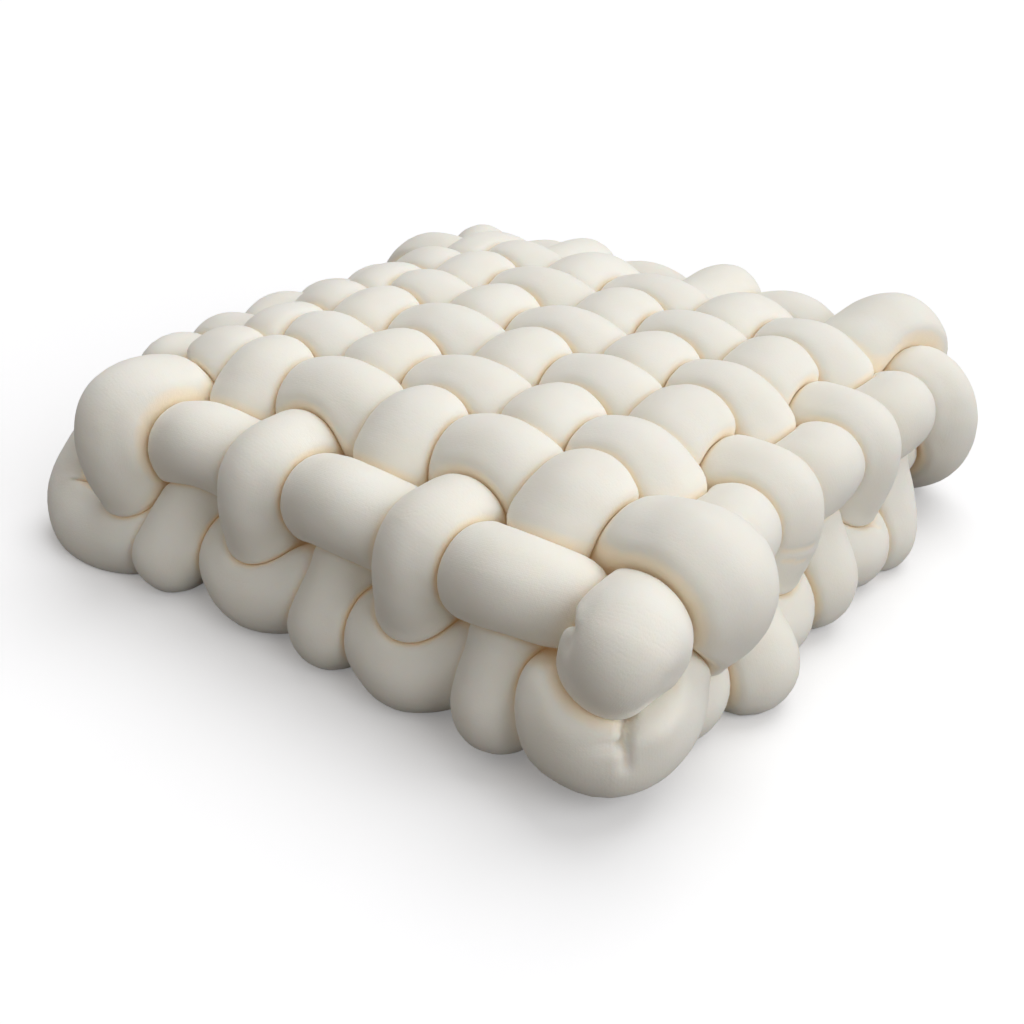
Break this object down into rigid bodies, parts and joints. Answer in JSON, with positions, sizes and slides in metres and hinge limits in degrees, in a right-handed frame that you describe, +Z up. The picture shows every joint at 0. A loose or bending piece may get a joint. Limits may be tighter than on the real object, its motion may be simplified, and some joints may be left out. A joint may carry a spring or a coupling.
{
  "type": "knot cushion",
  "caption": "Square floor cushion woven from fat stuffed tubes of soft cream cloth, rounded and crowned, lying on its back",
  "frame": {"origin": "on the floor, under the middle of the cushion's box", "axes": "+Z up, out of the upper face; X and Y run along the two families of tubes"},
  "size_m": [0.6066, 0.584, 0.1825],
  "materials": {
    "cloth": "matte brushed jersey"
  },
  "bodies": {
    "root": {"tube_along_x_1": "cloth", "tube_along_x_2": "cloth", "tube_along_x_3": "cloth", "tube_along_x_4": "cloth", "tube_along_x_5": "cloth", "tube_along_x_6": "cloth", "tube_along_x_7": "cloth", "tube_along_x_8": "cloth", "tube_along_y_1": "cloth", "tube_along_y_2": "cloth", "tube_along_y_3": "cloth", "tube_along_y_4": "cloth", "tube_along_y_5": "cloth", "tube_along_y_6": "cloth", "tube_along_y_7": "cloth", "tube_along_y_8": "cloth"}
  },
  "joints": []
}
